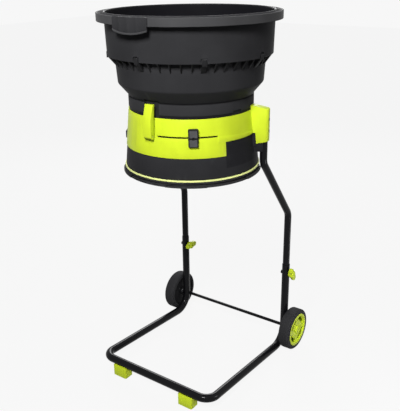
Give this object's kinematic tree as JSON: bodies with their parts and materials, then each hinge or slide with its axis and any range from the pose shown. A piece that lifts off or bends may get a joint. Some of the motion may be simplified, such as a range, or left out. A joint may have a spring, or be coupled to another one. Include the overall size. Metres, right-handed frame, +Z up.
{
  "type": "leaf shredder",
  "caption": "Electric leaf shredder: round hopper over a line-cutter drum with latches, a selector and a rocker switch, on a bent-tube stand with wheels and feet.",
  "frame": {"origin": "on the ground below the middle of the bounding box", "axes": "+Z up, front of the machine towards -Y, +X to the right seen from the front"},
  "size_m": [0.5842, 0.621, 1.25],
  "materials": {
    "hopper_black": "satin charcoal moulded plastic",
    "lime_plastic": "lime green moulded plastic",
    "dark_plastic": "matte black moulded plastic",
    "tube_paint": "gloss black paint on steel tube",
    "steel": "zinc plated steel",
    "tyre_black": "matte charcoal tyre",
    "seal_rubber": "soft black rubber",
    "winding": "lacquered copper"
  },
  "bodies": {
    "machine": {"hopper_top": "hopper_black", "hopper_base": "hopper_black", "neck_seal": "seal_rubber", "housing_band": "lime_plastic", "housing_drum": "hopper_black", "trim_ring": "lime_plastic", "base_guard": "hopper_black", "guard_screws": "steel", "motor_pod": "dark_plastic", "motor_cover": "dark_plastic", "motor_screws": "steel", "motor_stator": "steel", "brush_holders": "winding", "bearing_upper": "steel", "bearing_lower": "steel", "switch_bezel": "dark_plastic", "power_inlet": "dark_plastic", "inlet_pins": "steel", "latch_pins": "steel", "upper_leg_left": "tube_paint", "upper_leg_right": "tube_paint", "lower_frame": "tube_paint", "leg_bolts": "steel", "knob_bolts": "steel", "axle": "tube_paint", "push_nuts": "steel", "foot_left": "lime_plastic", "foot_right": "lime_plastic", "foot_screws": "steel"},
    "front_latch": {"latch_front": "lime_plastic"},
    "rear_latch": {"latch_rear": "lime_plastic"},
    "selector": {"selector_ring": "dark_plastic", "selector_knob": "dark_plastic", "selector_screw": "steel"},
    "rocker": {"switch_rocker": "dark_plastic"},
    "cutter": {"motor_shaft": "steel", "motor_rotor": "winding", "commutator": "winding", "cooling_fan": "dark_plastic", "cutter_head": "dark_plastic", "cutter_lines": "lime_plastic", "head_nut": "steel"},
    "left_wheel": {"tyre_left": "tyre_black", "hub_left": "lime_plastic", "bush_left": "steel", "cap_left": "lime_plastic", "wheel_back_left": "dark_plastic"},
    "right_wheel": {"tyre_right": "tyre_black", "hub_right": "lime_plastic", "bush_right": "steel", "cap_right": "lime_plastic", "wheel_back_right": "dark_plastic"},
    "left_wing_knob": {"knob_left": "lime_plastic"},
    "right_wing_knob": {"knob_right": "lime_plastic"}
  },
  "joints": [
    {"name": "front_latch_turn", "type": "hinge", "parent": "machine", "child": "front_latch", "pos_m": [0, -0.24139, 0.897], "axis": [1, 0, 0], "range_deg": [0, 70]},
    {"name": "rear_latch_turn", "type": "hinge", "parent": "machine", "child": "rear_latch", "pos_m": [0, 0.1944, 0.897], "axis": [-1, 0, 0], "range_deg": [0, 70]},
    {"name": "selector_turn", "type": "hinge", "parent": "machine", "child": "selector", "pos_m": [0, -0.0235, 0.898], "axis": [0, 0, 1], "range_deg": [-28, 18]},
    {"name": "switch_rock", "type": "hinge", "parent": "machine", "child": "rocker", "pos_m": [-0.17989, -0.13591, 0.859], "axis": [0, 0, 1], "range_deg": [-14, 0]},
    {"name": "cutter_spin", "type": "hinge", "parent": "machine", "child": "cutter", "pos_m": [0, -0.0235, 0.8], "axis": [0, 0, 1], "continuous": true},
    {"name": "left_wheel_spin", "type": "hinge", "parent": "machine", "child": "left_wheel", "pos_m": [-0.2701, 0.2325, 0.078], "axis": [1, 0, 0], "continuous": true},
    {"name": "right_wheel_spin", "type": "hinge", "parent": "machine", "child": "right_wheel", "pos_m": [0.2701, 0.2325, 0.078], "axis": [1, 0, 0], "continuous": true},
    {"name": "left_knob_turn", "type": "hinge", "parent": "machine", "child": "left_wing_knob", "pos_m": [-0.2076, 0.2325, 0.303], "axis": [1, 0, 0], "continuous": true},
    {"name": "right_knob_turn", "type": "hinge", "parent": "machine", "child": "right_wing_knob", "pos_m": [0.2564, 0.2325, 0.303], "axis": [1, 0, 0], "continuous": true}
  ]
}
